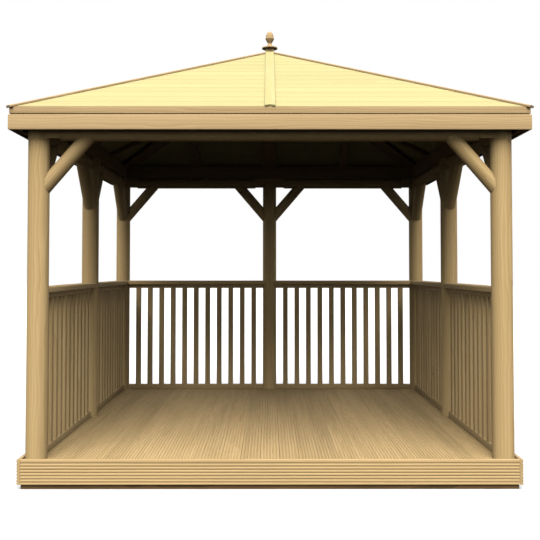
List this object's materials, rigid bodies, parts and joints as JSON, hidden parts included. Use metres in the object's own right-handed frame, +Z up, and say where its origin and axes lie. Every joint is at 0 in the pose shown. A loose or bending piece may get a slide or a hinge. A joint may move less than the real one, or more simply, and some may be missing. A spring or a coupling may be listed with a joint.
{
  "type": "garden gazebo",
  "caption": "Square open garden gazebo of round timber posts and braces on a boarded floor, with balustrades on three sides and a boarded pyramid roof with a finial.",
  "frame": {"origin": "on the ground below the middle of the floor", "axes": "+Z up, -Y towards the open front side, +X to the right as seen from the front"},
  "size_m": [3.0462, 3.0462, 3.088],
  "materials": {
    "post_timber": "machine-rounded softwood with long grain, fine drying cracks and knots, unpainted and matte",
    "balustrade_timber": "planed square softwood with eased edges, unpainted and matte",
    "floor_timber": "softwood decking with fine ribs along the grain, unpainted and matte",
    "bearer_timber": "dark, damp sawn softwood in the shade below the floor",
    "fascia_timber": "planed softwood board with a rounded edge, tan and matte",
    "roof_timber": "pale yellow lapped softwood boards, matte",
    "frame_timber": "sawn softwood, seen from below in shade"
  },
  "bodies": {
    "root": {"post_front_left": "post_timber", "post_front_right": "post_timber", "post_middle_left": "post_timber", "post_middle_right": "post_timber", "post_back_left": "post_timber", "post_back_middle": "post_timber", "post_back_right": "post_timber", "beam_front": "post_timber", "beam_back_left": "post_timber", "beam_back_right": "post_timber", "beam_left_front": "post_timber", "beam_left_back": "post_timber", "beam_right_front": "post_timber", "beam_right_back": "post_timber", "braces_front_left": "post_timber", "braces_front_right": "post_timber", "braces_middle_left": "post_timber", "braces_middle_right": "post_timber", "braces_back_left": "post_timber", "braces_back_middle": "post_timber", "braces_back_right": "post_timber", "balustrade_left_front": "balustrade_timber", "balustrade_left_back": "balustrade_timber", "balustrade_right_front": "balustrade_timber", "balustrade_right_back": "balustrade_timber", "balustrade_back_left": "balustrade_timber", "balustrade_back_right": "balustrade_timber", "deck_boards": "floor_timber", "deck_fascia": "floor_timber", "floor_frame": "bearer_timber", "wall_plates": "frame_timber", "eaves_fascia": "fascia_timber", "eaves_trim": "fascia_timber", "roof_boards_front": "roof_timber", "roof_boards_back": "roof_timber", "roof_boards_left": "roof_timber", "roof_boards_right": "roof_timber", "roof_frame_front": "frame_timber", "roof_frame_back": "frame_timber", "roof_frame_left": "frame_timber", "roof_frame_right": "frame_timber", "cover_strips": "roof_timber", "hip_strips": "fascia_timber", "finial_cap": "fascia_timber", "finial": "fascia_timber"}
  },
  "joints": []
}
